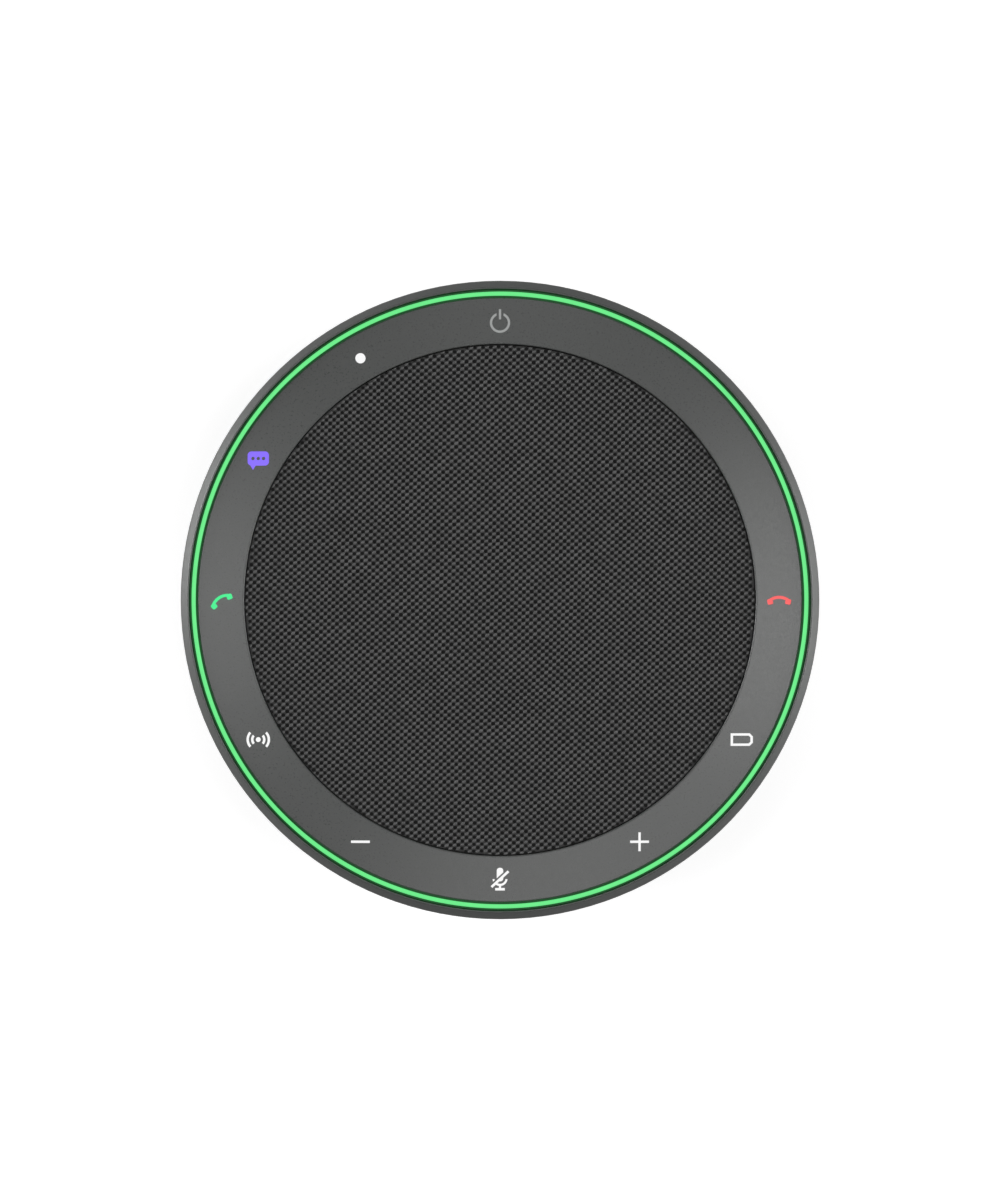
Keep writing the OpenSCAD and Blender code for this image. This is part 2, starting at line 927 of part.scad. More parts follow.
module inner_frame() {
    wall_in = plate_r - grille_wall;
    wall_out = ring_in_r + rib_w;
    color("#3a3c3b")
    difference() {
        union() {
            translate([0, 0, frame_z])
                ring(throat_r + clear, frame_r, frame_t);
            translate([0, 0, frame_top - eps])
                ring(wall_in, wall_out, shelf_z - frame_top + eps);
            translate([0, 0, shelf_z - eps])
                ring(wall_in, plate_r, plate_z - shelf_z + eps);
            translate([0, 0, frame_top - eps])
                around(quarter_angles, chamber_screw_r)
                    cylinder(h = front_h - boss_gap, r = boss_r);
            translate([0, 0, pillar_z])
                around(screw_angles, pillar_r)
                    cylinder(h = frame_z - pillar_z + eps, r = pillar_rad);
        }
        translate([0, 0, pillar_z - eps])
            around(screw_angles, pillar_r)
                cylinder(h = casing_screw[3], r = casing_screw[2] + fit / 2);
        translate([0, 0, rim_z])
            around(quarter_angles, chamber_screw_r)
                cylinder(h = chamber_screw[3] + clear, r = chamber_screw[2] + fit / 2);
        translate([0, 0, frame_z - eps]) {
            around(screw_angles, frame_screw_r)
                cylinder(h = frame_t + 2 * eps, r = frame_screw[2] + slip);
            around(cross_angles, driver_screw_r)
                cylinder(h = frame_t + 2 * eps, r = driver_screw[2] + fit / 2);
            translate([0, ribbon_y, 0])
                block([ribbon_link.x, ribbon_link.y, frame_t + 2 * eps]);
        }
    }
}

module speaker_chamber() {
    hole = [lead_w, 2 * chamber_wall, lead_t] + 2 * (grommet_t + fit) * [1, 0, 1];
    color("#333534")
    difference() {
        union() {
            translate([0, 0, chamber_z])
                cylinder(h = seal_z - chamber_z, r = chamber_r);
            translate([0, 0, rim_z])
                cylinder(h = rim_t, r = chamber_r + rim_w);
        }
        translate([0, 0, chamber_z + chamber_floor_t])
            cylinder(h = seal_z, r = chamber_r - chamber_wall);
        translate([0, 0, rim_z - eps])
            around(quarter_angles, chamber_screw_r)
                cylinder(h = rim_t + 2 * eps, r = chamber_screw[2] + slip);
        translate([0, chamber_r - chamber_wall / 2, lead_z])
            cube(hole, center = true);
    }
}

module chamber_seal() {
    color("#1b1b1b")
    translate([0, 0, seal_z])
        difference() {
            ring(chamber_r - chamber_wall, chamber_r + rim_w, seal_t);
            translate([0, 0, -eps])
                around(quarter_angles, chamber_screw_r)
                    cylinder(h = seal_t + 2 * eps, r = chamber_screw[2] + slip);
        }
}

module speaker_basket() {
    hub = cup_r + eps;
    collar = hub + collar_t;
    collar_top = gap_z - basket_wall;
    bend_z = spider_z + ledge_t;
    color("#262727")
    difference() {
        rotate_extrude()
            polygon([[hub, collar_top - collar_h], [collar, collar_top - collar_h],
                     [ledge_r - basket_wall, spider_z - ledge_t],
                     [ledge_r + basket_wall, spider_z - ledge_t], [throat_r, bend_z + leaf_t],
                     [throat_r, frame_top], [flange_r, frame_top], [flange_r, flange_z],
                     [seat_r, flange_z], [seat_r, cone_z], [seat_in_r, cone_z],
                     [seat_in_r, bend_z + basket_wall], [ledge_r + leaf_t + slip, spider_z],
                     [ledge_r - ledge_w, spider_z], [collar - 2 * leaf_t, collar_top],
                     [hub, collar_top]]);
        translate([0, 0, collar_top + basket_wall / 2])
            around(screw_angles, collar + window.x / 2 - slip)
                cube(window, center = true);
        translate([0, 0, frame_top - eps])
            around(cross_angles, driver_screw_r)
                cylinder(h = flange_t + 2 * eps, r = driver_screw[2] + slip);
    }
}

module speaker_gasket() {
    color("#1b1b1b")
    translate([0, 0, flange_z])
        ring(seat_r - slip, seat_r - slip + gasket_w, plate_z - flange_z);
}

module magnet_cup() {
    color("#8f9294")
    translate([0, 0, cup_z])
        difference() {
            cylinder(h = gap_z - cup_z, r = cup_r);
            translate([0, 0, cup_floor_t])
                cylinder(h = gap_z, r = cup_in_r);
        }
}

module magnet() {
    color("#6c6f73")
    translate([0, 0, magnet_z])
        cylinder(h = magnet_t, r = pole_r - pole_over);
}

module pole_plate() {
    color("#8f9294")
    translate([0, 0, pole_z])
        cylinder(h = pole_t, r = pole_r);
}

module voice_coil() {
    color("#b5713a")
    translate([0, 0, coil_z])
        ring(coil_r + glue_t, coil_r + winding_t, coil_h);
}

module coil_former() {
    color("#c8a86a")
    translate([0, 0, coil_z])
        ring(coil_r - former_t, coil_r, neck_z + leaf_t - coil_z);
}

module spider() {
    inner = coil_r + fit;
    outer = ledge_r + leaf_t;
    steps = 60;
    radii = [for (i = [0:steps]) inner + (outer - inner) * i / steps];
    color("#c9a24a")
    rotate_extrude()
        polygon(concat(
            [for (r = radii) [r, spider_z + spider_wave(r)]],
            [for (i = [steps:-1:0]) [radii[i], spider_z + leaf_t + spider_wave(radii[i])]]));
}

module cone() {
    neck = coil_r + glue_t;
    shelf = cone_r - glue_w - slip;
    color("#2f2f30")
    rotate_extrude()
        polygon([[neck, neck_z], [neck + 2 * cone_t, neck_z], [shelf, cone_z - cone_t],
                 [cone_r, cone_z - cone_t], [cone_r, cone_z], [shelf - slip, cone_z],
                 [neck + cone_t, neck_z + leaf_t], [neck, neck_z + leaf_t]]);
}

module dust_cap() {
    base_z = neck_z + leaf_t;
    dome_r = (coil_r * coil_r + cap_rise * cap_rise) / (2 * cap_rise);
    color("#262627")
    rotate_extrude()
        intersection() {
            translate([0, base_z])
                square([coil_r, 2 * cap_rise]);
            translate([0, base_z + cap_rise - dome_r])
                difference() {
                    circle(r = dome_r, $fn = 180);
                    circle(r = dome_r - leaf_t, $fn = 180);
                }
        }
}

module surround() {
    color("#1c1c1c")
    rotate_extrude()
        intersection() {
            translate([0, cone_z])
                square([body_r, body_r]);
            union() {
                translate([roll_r, cone_z])
                    difference() {
                        circle(d = roll_w + leaf_t);
                        circle(d = roll_w - leaf_t);
                    }
                translate([roll_r - roll_w / 2 - glue_w, cone_z])
                    square([glue_w, leaf_t]);
                translate([roll_r + roll_w / 2, cone_z])
                    square([glue_w, leaf_t]);
            }
        }
}

module speaker_terminals() {
    color("#7a5a32")
    translate([-tab_size.x / 2, ledge_r - 2 * leaf_t, spider_z - ledge_t - tab_size.z])
        cube(tab_size);
}

module speaker_lead() {
    tab_y = ledge_r - 2 * leaf_t + tab_size.y;
    tab_z = spider_z - ledge_t - tab_size.z / 2;
    color("#a03030")
    lead([[tab_y, tab_z], [tab_y + lead_bend, tab_z], [chamber_r - 3 * lead_bend, lead_z],
          [link_y, lead_z]], lead_t, lead_w);
}

module lead_grommet() {
    sleeve = [lead_w, chamber_wall, lead_t] + 2 * grommet_t * [1, 0, 1];
    color("#1b1b1b")
    translate([0, chamber_r - chamber_wall / 2, lead_z])
        difference() {
            cube(sleeve, center = true);
            cube([lead_w + fit, 2 * chamber_wall, lead_t + fit], center = true);
        }
}

module main_board() {
    color("#1f4d33")
    translate([0, 0, board_z])
        difference() {
            union() {
                cylinder(h = board_t, r = board_r);
                translate([-board_tab_w / 2, 0, 0])
                    cube([board_tab_w, mouth_y - mouth_wall - clear, board_t]);
            }
            translate([0, 0, -eps]) {
                cylinder(h = board_t + 2 * eps, r = board_in_r);
                around(screw_angles, pillar_r)
                    cylinder(h = board_t + 2 * eps, r = pillar_rad + cut_rim);
                around(post_angles, post_r)
                    cylinder(h = board_t + 2 * eps, r = board_screw[2] + slip);
            }
        }
}

module board_chips() {
    color("#17181a")
    translate([0, 0, board_top]) {
        around(square_chip_angles, board_mid)
            block(square_chip);
        around(memory_chip_angles, board_mid)
            block(memory_chip);
        around(small_chip_angles, board_mid + small_out)
            block(small_chip);
    }
}

module shield_can() {
    color("#b9bcbd")
    translate([0, 0, board_top])
        around([shield_angle], board_mid)
            block(shield_size);
}

module board_connectors() {
    color("#d8d2c0") {
        translate([0, ribbon_y, board_top])
            block(ribbon_link);
        translate([0, ribbon_y, shelf_z - link_h])
            block(ribbon_link);
        translate([0, link_y + speaker_link.y / 2, board_top])
            block(speaker_link);
        translate([0, -link_y - battery_link.y / 2, board_z - link_h])
            block(battery_link);
    }
}

module board_ribbon() {
    color("#b87b2a")
    translate([0, ribbon_y, board_top + link_h])
        block([ribbon_w, ribbon_t, shelf_z - board_top - 2 * link_h]);
}

module battery_pack() {
    color("#3f5f86")
    translate([0, 0, battery_z])
        linear_extrude(battery_t)
            round_rect(battery_l, battery_w, corner);
}

module battery_pad() {
    color("#1b1b1b")
    translate([0, 0, floor_z])
        linear_extrude(pad_t)
            round_rect(battery_l - 2 * pad_edge, battery_w - 2 * pad_edge, corner);
}

module battery_lead() {
    side = -battery_w / 2;
    mid_z = battery_z + battery_t / 2;
    end_y = -link_y - battery_link.y / 2;
    color("#a03030")
    lead([[side, mid_z], [end_y + 2 * lead_bend, mid_z], [end_y, mid_z + 2 * lead_bend],
          [end_y, board_z - link_h]], lead_t, lead_w);
}

module usb_socket() {
    end_r = socket_h / 2 - eps;
    color("#c3c5c6")
    translate([0, mouth_y - socket_l, socket_z])
        rotate([-90, 0, 0])
            difference() {
                linear_extrude(socket_l)
                    round_rect(socket_w, socket_h, end_r);
                translate([0, 0, shell_back])
                    linear_extrude(socket_l)
                        round_rect(socket_w - 2 * shell_t, socket_h - 2 * shell_t, end_r - shell_t);
            }
}

module usb_tongue() {
    tongue_l = socket_l - shell_back - tongue_in;
    color("#1a1a1a")
    translate([-tongue_w / 2, mouth_y - socket_l + shell_back, socket_z - tongue_t / 2])
        cube([tongue_w, tongue_l, tongue_t]);
}

module casing_screws() {
    color("#9a9c9e")
    translate([0, 0, head_z])
        around(screw_angles, pillar_r)
            screw(casing_screw);
}

module frame_screws() {
    color("#9a9c9e")
    translate([0, 0, frame_z])
        around(screw_angles, frame_screw_r)
            screw(frame_screw);
}

module chamber_screws() {
    color("#9a9c9e")
    translate([0, 0, rim_z])
        around(quarter_angles, chamber_screw_r)
            screw(chamber_screw);
}

module speaker_screws() {
    color("#9a9c9e")
    translate([0, 0, flange_z])
        around(cross_angles, driver_screw_r)
            mirror([0, 0, 1])
                screw(driver_screw);
}

module board_screws() {
    color("#9a9c9e")
    translate([0, 0, board_top])
        around(post_angles, post_r)
            mirror([0, 0, 1])
                screw(board_screw);
}

top_housing();
bottom_housing();
rubber_foot();
touch_ring();
light_ring();
grille_cloth();
grille_plate();
power_symbol();
status_dot();
meeting_symbol();
answer_symbol();
wireless_symbol();
volume_down_symbol();
mute_symbol();
volume_up_symbol();
battery_symbol();
end_call_symbol();
touch_board();
ring_lamps();
symbol_lamps();
microphones();
microphone_boots();
inner_frame();
speaker_chamber();
chamber_seal();
speaker_basket();
speaker_gasket();
magnet_cup();
magnet();
pole_plate();
voice_coil();
coil_former();
spider();
cone();
dust_cap();
surround();
speaker_terminals();
speaker_lead();
lead_grommet();
main_board();
board_chips();
shield_can();
board_connectors();
board_ribbon();
battery_pack();
battery_pad();
battery_lead();
usb_socket();
usb_tongue();
casing_screws();
frame_screws();
chamber_screws();
speaker_screws();
board_screws();
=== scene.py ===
# %% [markdown]
# # A round conference speakerphone
# The object is a low puck, 132.5 mm across: a dark grey casing, a touch ring with ten lit symbols, a
# thin green light ring and a woven grille cloth over the loudspeaker. Its solid pieces come from the
# frame and keep their places. This lesson gives them their finishes, weaves the cloth and lights the
# whole as a product photograph, seen straight from above.

# %% Load the frame
import json
import math

import bmesh
import bpy
import numpy as np
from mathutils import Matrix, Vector


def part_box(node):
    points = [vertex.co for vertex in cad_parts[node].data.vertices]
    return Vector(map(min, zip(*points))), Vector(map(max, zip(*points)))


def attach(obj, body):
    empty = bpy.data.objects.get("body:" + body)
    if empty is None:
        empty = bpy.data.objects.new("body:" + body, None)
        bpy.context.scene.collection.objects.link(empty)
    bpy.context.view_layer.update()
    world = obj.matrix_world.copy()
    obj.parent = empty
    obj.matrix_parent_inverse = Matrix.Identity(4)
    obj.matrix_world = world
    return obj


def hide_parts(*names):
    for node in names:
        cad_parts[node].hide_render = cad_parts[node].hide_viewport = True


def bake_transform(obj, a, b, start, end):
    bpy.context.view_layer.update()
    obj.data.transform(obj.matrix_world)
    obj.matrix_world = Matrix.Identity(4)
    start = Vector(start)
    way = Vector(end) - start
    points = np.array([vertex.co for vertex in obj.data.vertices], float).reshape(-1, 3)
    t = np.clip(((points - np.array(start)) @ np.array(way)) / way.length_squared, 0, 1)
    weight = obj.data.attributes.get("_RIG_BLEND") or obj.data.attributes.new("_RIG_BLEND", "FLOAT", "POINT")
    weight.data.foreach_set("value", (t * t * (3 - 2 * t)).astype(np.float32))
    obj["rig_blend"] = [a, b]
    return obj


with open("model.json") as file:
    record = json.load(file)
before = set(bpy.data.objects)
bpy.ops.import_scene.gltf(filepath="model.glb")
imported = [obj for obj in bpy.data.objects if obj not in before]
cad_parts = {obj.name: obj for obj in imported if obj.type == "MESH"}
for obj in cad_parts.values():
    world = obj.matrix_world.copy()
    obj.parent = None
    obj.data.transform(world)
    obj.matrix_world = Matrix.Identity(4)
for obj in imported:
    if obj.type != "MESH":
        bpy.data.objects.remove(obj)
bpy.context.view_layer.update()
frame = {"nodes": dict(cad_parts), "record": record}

nodes = frame["nodes"]
scene = bpy.context.scene
print("pieces in the frame:", len(nodes))

# %% [markdown]
# Every finish starts from the same shader and reads Object coordinates. All pieces sit at the origin, so
# these coordinates are metres on the real object, and a grain of 0.4 mm is 0.4 mm on every piece. One
# helper adds a node and sets or links its sockets by identifier, and the small ones after it do sums.

# %% Helpers for node trees
def out(node, identifier):
    return next(s for s in node.outputs if s.identifier == identifier)


def add(tree, kind, inputs=None, **settings):
    node = tree.nodes.new(kind)
    for name, value in settings.items():
        setattr(node, name, value)
    for identifier, value in (inputs or {}).items():
        socket = next(s for s in node.inputs if s.identifier == identifier)
        if isinstance(value, bpy.types.NodeSocket):
            tree.links.new(value, socket)
        else:
            socket.default_value = value
    return node


def calc(tree, operation, a, b=0.0):
    return add(tree, "ShaderNodeMath", {"Value": a, "Value_001": b}, operation=operation).outputs[0]


def calc_vector(tree, operation, a, b):
    return add(tree, "ShaderNodeVectorMath", {"Vector": a, "Vector_001": b}, operation=operation).outputs[0]


def blank_finish(name):
    material = bpy.data.materials.new(name + "_finish")
    material.use_nodes = True
    tree = material.node_tree
    place = add(tree, "ShaderNodeTexCoord").outputs["Object"]
    return material, tree, tree.nodes["Principled BSDF"], place


print("tree helpers ready")

# %% [markdown]
# A finish is built from few steps: a noise pattern, which may be stretched in one direction, is spread
# over a range of values, mixes a dark and a light shade, and lifts the surface. Each step gets a name.

# %% Helpers for finishes
noise_low, noise_high = 0.3, 0.7
bump_strength = 0.6


def stretched(tree, place, scale, turn=0.0):
    return add(tree, "ShaderNodeMapping",
               {"Vector": place, "Scale": scale, "Rotation": (0, 0, turn)}).outputs[0]


def speckle(tree, place, size, detail=2.0):
    return add(tree, "ShaderNodeTexNoise",
               {"Vector": place, "Scale": 1 / size, "Detail": detail}).outputs["Fac"]


def spread(tree, value, low, high):
    return add(tree, "ShaderNodeMapRange",
               {"Value": value, "From Min": noise_low, "From Max": noise_high,
                "To Min": low, "To Max": high}).outputs[0]


def tint(tree, value, dark, light):
    mix = add(tree, "ShaderNodeMix",
              {"Factor_Float": value, "A_Color": (*dark, 1), "B_Color": (*light, 1)}, data_type="RGBA")
    return out(mix, "Result_Color")


def raised(tree, shader, value, height):
    bump = add(tree, "ShaderNodeBump", {"Height": value, "Distance": height, "Strength": bump_strength})
    tree.links.new(bump.outputs["Normal"], shader.inputs["Normal"])


def shaded(colour, share):
    return tuple(min(1.0, c * share) for c in colour)


print("finish helpers ready")

# %% [markdown]
# Moulded plastic is never one flat colour: the steel of the mould is spark-eroded, which leaves a fine
# grain that catches the light. A noise pattern of the grain's size varies the colour a little, the
# roughness a little more, and lifts the surface by a few hundredths of a millimetre.

# %% Moulded plastics, rubbers and foams
def moulded(name, colour, roughness, grain=0.0004, vary=0.08, depth=0.00002, uneven=0.04):
    material, tree, shader, place = blank_finish(name)
    fine = speckle(tree, place, grain, 3.0)
    colours = tint(tree, spread(tree, fine, 0, 1), shaded(colour, 1 - vary), shaded(colour, 1 + vary))
    tree.links.new(colours, shader.inputs["Base Color"])
    tree.links.new(spread(tree, fine, roughness - uneven, roughness + uneven), shader.inputs["Roughness"])
    raised(tree, shader, fine, depth)
    return material


finishes = {
    "casing_grey": moulded("casing_grey", (0.058, 0.061, 0.059), 0.38),
    "ring_grey": moulded("ring_grey", (0.058, 0.061, 0.059), 0.3, depth=0.00001),
    "base_black": moulded("base_black", (0.028, 0.029, 0.029), 0.5, 0.0005, 0.1, 0.00003),
    "foot_rubber": moulded("foot_rubber", (0.016, 0.016, 0.016), 0.75, 0.0003, 0.15, 0.00003),
    "plate_black": moulded("plate_black", (0.014, 0.014, 0.014), 0.6),
    "soft_black": moulded("soft_black", (0.012, 0.012, 0.012), 0.85, 0.0003, 0.25, 0.00006),
    "frame_grey": moulded("frame_grey", (0.045, 0.048, 0.047), 0.5),
    "cone_black": moulded("cone_black", (0.02, 0.02, 0.021), 0.65, 0.0006, 0.2, 0.00004),
    "basket_black": moulded("basket_black", (0.02, 0.02, 0.02), 0.4, 0.0003, 0.15),
    "terminal_brown": moulded("terminal_brown", (0.16, 0.08, 0.03), 0.5, 0.0005, 0.2),
    "lead_red": moulded("lead_red", (0.35, 0.03, 0.03), 0.4, 0.0006, 0.1),
    "chip_black": moulded("chip_black", (0.01, 0.01, 0.012), 0.45, 0.0002, 0.2),
    "connector_cream": moulded("connector_cream", (0.68, 0.63, 0.5), 0.4),
    "ribbon_amber": moulded("ribbon_amber", (0.48, 0.2, 0.03), 0.2, 0.002, 0.08, 0.00001),
    "symbol_grey": moulded("symbol_grey", (0.36, 0.37, 0.365), 0.45, 0.0003, 0.03),
    "lamp": moulded("lamp", (0.8, 0.85, 0.6), 0.3),
}
print("plastics and rubbers:", len(finishes))

# %% [markdown]
# Metal pieces reflect instead of scattering, so the metallic value is 1. Turned and pressed parts show
# fine lines, which a noise pattern gives when it is squeezed hard along one direction. Plated parts
# keep a soft cloudiness instead.

# %% Metals
def drawn_metal(name, colour, roughness, lines=(300, 300, 9000), vary=0.1, depth=0.000008, uneven=0.06):
    material, tree, shader, place = blank_finish(name)
    shader.inputs["Metallic"].default_value = 1.0
    fine = speckle(tree, stretched(tree, place, lines), 1.0, 3.0)
    colours = tint(tree, spread(tree, fine, 0, 1), shaded(colour, 1 - vary), shaded(colour, 1 + vary))
    tree.links.new(colours, shader.inputs["Base Color"])
    tree.links.new(spread(tree, fine, roughness - uneven, roughness + uneven), shader.inputs["Roughness"])
    raised(tree, shader, fine, depth)
    return material


cloudy = (700, 700, 700)
finishes.update({
    "steel": drawn_metal("steel", (0.5, 0.51, 0.52), 0.35),
    "magnet_nickel": drawn_metal("magnet_nickel", (0.6, 0.6, 0.58), 0.2, cloudy, 0.05),
    "copper": drawn_metal("copper", (0.62, 0.27, 0.11), 0.3, (40, 40, 12000), 0.25),
    "former": drawn_metal("former", (0.7, 0.6, 0.4), 0.35, cloudy, 0.06),
    "mic_metal": drawn_metal("mic_metal", (0.6, 0.58, 0.5), 0.3, cloudy, 0.06),
    "shield": drawn_metal("shield", (0.55, 0.56, 0.56), 0.32, (300, 6000, 300)),
    "battery_foil": drawn_metal("battery_foil", (0.5, 0.52, 0.55), 0.38, (250, 250, 250), 0.12),
    "steel_bright": drawn_metal("steel_bright", (0.6, 0.61, 0.62), 0.22, cloudy, 0.05),
    "screw_steel": drawn_metal("screw_steel", (0.4, 0.41, 0.42), 0.35, cloudy),
})
print("finishes so far:", len(finishes))

# %% [markdown]
# A circuit board is glass fibre under a green solder mask. Copper tracks under the mask lift it and show
# as slightly lighter green, so a brick pattern stands for the tracks. The spider that centres the voice
# coil is cloth stiffened with resin, with its weave still visible as fine checks.

# %% Boards and stiffened cloth
def tracked_board(name, mask, track, bricks=260, track_w=0.035, roughness=0.35, depth=0.00003):
    material, tree, shader, place = blank_finish(name)
    tracks = add(tree, "ShaderNodeTexBrick",
                 {"Vector": place, "Scale": bricks, "Mortar Size": track_w, "Mortar": (*track, 1),
                  "Color1": (*mask, 1), "Color2": (*shaded(mask, 1.15), 1)})
    tree.links.new(tracks.outputs["Color"], shader.inputs["Base Color"])
    shader.inputs["Roughness"].default_value = roughness
    raised(tree, shader, tracks.outputs["Fac"], depth)
    return material


def stiff_cloth(name, colour, pitch, roughness=0.6, depth=0.00004):
    material, tree, shader, place = blank_finish(name)
    checks = add(tree, "ShaderNodeTexChecker",
                 {"Vector": place, "Scale": 1 / pitch, "Color1": (*shaded(colour, 0.8), 1),
                  "Color2": (*shaded(colour, 1.1), 1)})
    tree.links.new(checks.outputs["Color"], shader.inputs["Base Color"])
    shader.inputs["Roughness"].default_value = roughness
    raised(tree, shader, checks.outputs["Fac"], depth)
    return material


finishes["board_green"] = tracked_board("board_green", (0.012, 0.075, 0.035), (0.03, 0.14, 0.06))
finishes["spider_cloth"] = stiff_cloth("spider_cloth", (0.55, 0.36, 0.1), 0.0003)
print("finishes so far:", len(finishes))

# %% [markdown]
# The light ring and nine of the symbols are clear plastic lit from below, so they give light of their
# own. Their emission has the strength 1, at which the colour on the picture is the colour written here.
# The colour underneath stays dark, because room light adds to it. On the light ring only the round top
# shines, and little light leaks from its sides. The power symbol is only printed.

# %% Lit pieces
lit_roughness, lit_gloss = 0.35, 0.1
shining_depth = 0.0005


def lit(name, glow, above=0.0, leak=0.075, vary=0.03, cloud=0.004, border=0.0001):
    material, tree, shader, place = blank_finish(name)
    soft = speckle(tree, place, cloud)
    height = add(tree, "ShaderNodeSeparateXYZ", {"Vector": place}).outputs["Z"]
    top = add(tree, "ShaderNodeMapRange",
              {"Value": height, "From Min": above, "From Max": above + border}).outputs[0]
    colours = tint(tree, spread(tree, soft, 0, 1), shaded(glow, 1 - vary), shaded(glow, 1 + vary))
    masked = add(tree, "ShaderNodeMix", {"Factor_Float": top, "A_Color": (*shaded(glow, leak), 1),
                                         "B_Color": colours}, data_type="RGBA")
    tree.links.new(out(masked, "Result_Color"), shader.inputs["Emission Color"])
    shader.inputs["Emission Strength"].default_value = 1.0
    shader.inputs["Base Color"].default_value = (*shaded(glow, leak), 1)
    shader.inputs["Roughness"].default_value = lit_roughness
    shader.inputs["Specular IOR Level"].default_value = lit_gloss
    return material


finishes.update({
    "light_green": lit("light_green", (0.15, 0.81, 0.25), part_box("light_ring")[1].z - shining_depth),
    "symbol_white": lit("symbol_white", (0.9, 0.9, 0.9)),
    "symbol_violet": lit("symbol_violet", (0.25, 0.16, 0.95)),
    "symbol_green": lit("symbol_green", (0.07, 0.84, 0.29)),
    "symbol_red": lit("symbol_red", (0.92, 0.13, 0.13)),
})
slot_of = {s["node"]: s["material_slot"] for s in frame["record"]["subparts"]}
dressed = [name for name in nodes if slot_of[name] in finishes]
for name in dressed:
    mesh = nodes[name].data
    mesh.materials.clear()
    mesh.materials.append(finishes[slot_of[name]])
print("pieces with a finish:", len(dressed), "left:", sorted(set(nodes) - set(dressed)))

# %% [markdown]
# Two round pieces are made anew here, finer than the solids: the light ring and the grille cloth. Both
# come from a profile, a row of points given by radius and height, which is turned once around the axis.

# %% A shape turned around the axis
sharp_angle = math.radians(40)


def turned(name, profile, steps=180):
    angles = [2 * math.pi * i / steps for i in range(steps)]
    body = bmesh.new()
    rings = []
    for r, z in profile:
        if r == 0:
            rings.append([body.verts.new((0, 0, z))] * steps)
        else:
            rings.append([body.verts.new((r * math.cos(a), r * math.sin(a), z)) for a in angles])
    for one, two in zip(rings, rings[1:]):
        for i in range(steps):
            corners = [one[i], two[i], two[(i + 1) % steps], one[(i + 1) % steps]]
            body.faces.new(list(dict.fromkeys(corners)))
    bmesh.ops.remove_doubles(body, verts=body.verts, dist=1e-7)
    bmesh.ops.recalc_face_normals(body, faces=body.faces)
    mesh = bpy.data.meshes.new(name)
    body.to_mesh(mesh)
    body.free()
    mesh.shade_smooth()
    mesh.set_sharp_from_angle(angle=sharp_angle)
    piece = bpy.data.objects.new(name, mesh)
    scene.collection.objects.link(piece)
    return piece


print("turning helper ready")

# %% [markdown]
# The light ring is a clear plastic ring with a wide foot, which the casing and the touch ring hold down,
# and a narrow lip with a round top, which shines. It is turned finely, because a bright line shows every
# corner of a coarse circle. The pockets for the lamps lie under the foot, so the visible ring starts
# above them.

# %% The light ring
ring_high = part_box("light_ring")[1]
lip_in, lip_out = 0.06305, 0.0639
foot_in, foot_out = 0.06275, ring_high.x
foot_low, foot_high = 0.03345, 0.034
lip_round = (lip_out - lip_in) / 2
round_steps, ring_steps = 13, 360
profile = [(foot_in, foot_low), (foot_in, foot_high), (lip_in, foot_high)]
profile += [(lip_in + lip_round - lip_round * math.cos(a), ring_high.z - lip_round + lip_round * math.sin(a))
            for a in np.linspace(0, math.pi, round_steps)]
profile += [(lip_out, foot_high), (foot_out, foot_high), (foot_out, foot_low), (foot_in, foot_low)]
light_ring = turned("light_ring_turned", profile, ring_steps)
light_ring.data.materials.append(finishes["light_green"])
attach(light_ring, "casing")
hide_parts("light_ring")
print("light ring:", len(light_ring.data.polygons), "faces")

# %% [markdown]
# The grille cloth is one round piece of plain weave, stretched over the perforated plate and turned down
# at its edge. The sheet itself is a thin closed shell: a profile from the middle to the edge and down,
# then back inside, turned once around the axis. It lies a little under the top of the cloth, because the
# yarns stand on it.

# %% The cloth sheet
cloth_low, cloth_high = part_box("grille_cloth")
plate_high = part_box("grille_plate")[1]
cloth_r = cloth_high.x
yarn_rise = 0.00022
ground_z = cloth_high.z - yarn_rise
bend = 0.0003
play_below, play_beside = 0.00002, 0.00006
under_z = plate_high.z + play_below
lining_r = plate_high.x + play_beside
first_r, flat_steps, bend_steps = 0.005, 12, 6
profile = [(0, ground_z)] + [(r, ground_z) for r in np.linspace(first_r, cloth_r - 2 * bend, flat_steps)]
profile += [(cloth_r - bend + bend * math.sin(a), ground_z - bend + bend * math.cos(a))
            for a in np.linspace(0, math.pi / 2, bend_steps)]
profile += [(cloth_r, cloth_low.z), (lining_r, cloth_low.z), (lining_r, under_z), (0, under_z)]
cloth = turned("grille_cloth_sheet", profile)
print("cloth sheet:", len(cloth.data.polygons), "faces, radius", round(cloth_r, 4))

# %% [markdown]
# In a plain weave, each yarn goes over one crossing yarn and under the next. From above only the short
# stretches that lie on top are seen, the floats, in the pattern of a chess board. Weaving thousands of
# whole yarns would cost millions of faces, so Geometry Nodes sets a small dome on each crossing: rows of
# points are staggered by half a step and sheared to the lie of the cloth, and each point gets a dome,
# turned a little to the side as the twist of the yarn turns it.

# %% Points of the weave
flat_only = (1.0, 1.0, 0.0)
noise_middle = (0.5, 0.5, 0.5)
wander_scale = 90.0
wander_size = (0.0006, 0.0006, 0.0)


def from_axis(tree):
    here = add(tree, "GeometryNodeInputPosition").outputs[0]
    across = calc_vector(tree, "MULTIPLY", here, flat_only)
    far = add(tree, "ShaderNodeVectorMath", {"Vector": across}, operation="LENGTH").outputs["Value"]
    return here, far


